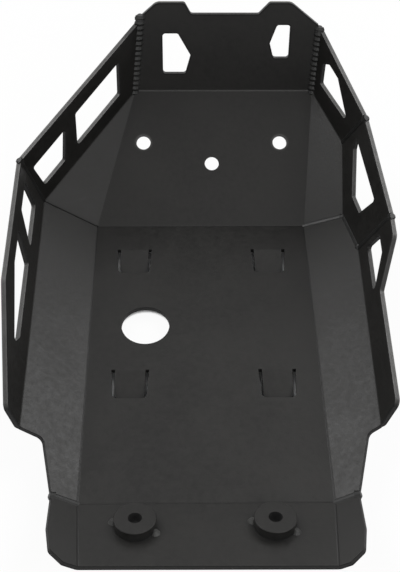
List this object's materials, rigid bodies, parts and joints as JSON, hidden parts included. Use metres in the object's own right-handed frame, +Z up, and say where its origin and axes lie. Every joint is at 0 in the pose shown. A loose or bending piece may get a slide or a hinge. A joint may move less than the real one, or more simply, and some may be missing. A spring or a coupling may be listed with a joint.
{
  "type": "motorcycle skid plate",
  "caption": "Folded sheet-metal engine guard: tray with a sloped front, windowed side walls, floor louvres, a drain opening and bolt spacers on the rear lip.",
  "frame": {"origin": "centre of the overall box in plan, at the lowest edge of the louvres under the floor", "axes": "+Y forward towards the sloped front, +Z up out of the tray, +X to the rider's right"},
  "size_m": [0.3343, 0.4956, 0.1794],
  "materials": {
    "black_coat": "satin powder coat"
  },
  "bodies": {
    "root": {"skid_plate": "black_coat", "spacer_left": "black_coat", "spacer_right": "black_coat", "tack_weld_left_1": "black_coat", "tack_weld_left_2": "black_coat", "tack_weld_right_1": "black_coat", "tack_weld_right_2": "black_coat", "weld_floor_left": "black_coat", "weld_floor_right": "black_coat", "weld_rear_left": "black_coat", "weld_rear_right": "black_coat", "weld_side_left": "black_coat", "weld_side_right_front": "black_coat", "weld_side_right_rear": "black_coat", "weld_sill_right": "black_coat", "weld_top_left": "black_coat", "weld_top_right": "black_coat"}
  },
  "joints": []
}
